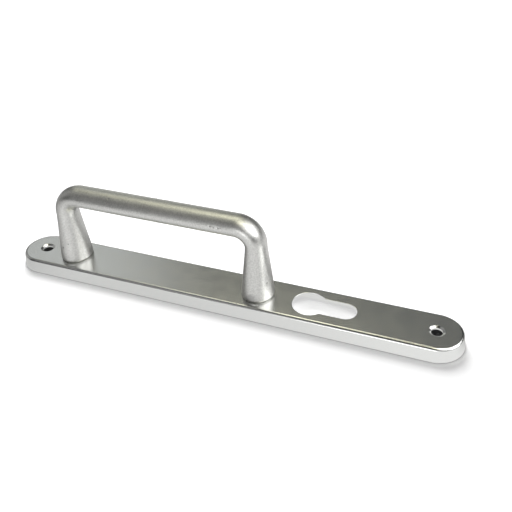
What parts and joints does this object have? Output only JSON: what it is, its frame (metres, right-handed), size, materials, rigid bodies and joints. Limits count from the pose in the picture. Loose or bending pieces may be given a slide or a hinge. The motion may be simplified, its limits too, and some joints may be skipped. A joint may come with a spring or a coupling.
{
  "type": "window handle",
  "caption": "D-shaped pull handle with two tapered oval legs on a long rounded cover plate with a lock cylinder cut-out.",
  "frame": {"origin": "middle of the plate's foot, on the door's face", "axes": "+X along the plate towards the cylinder cut-out, +Y across the plate, +Z out of the door's face"},
  "size_m": [0.2498, 0.0284, 0.0527],
  "materials": {
    "anodised_plate": "satin anodised, silver",
    "cast_handle": "satin casting, silver, fine grain and a few small pits",
    "plated_steel": "zinc plated"
  },
  "bodies": {
    "root": {"cover_plate": "anodised_plate", "pull_handle": "cast_handle", "handle_screw_left": "plated_steel", "handle_screw_right": "plated_steel", "spring_washer_left": "plated_steel", "spring_washer_right": "plated_steel", "flat_washer_left": "plated_steel", "flat_washer_right": "plated_steel"}
  },
  "joints": []
}
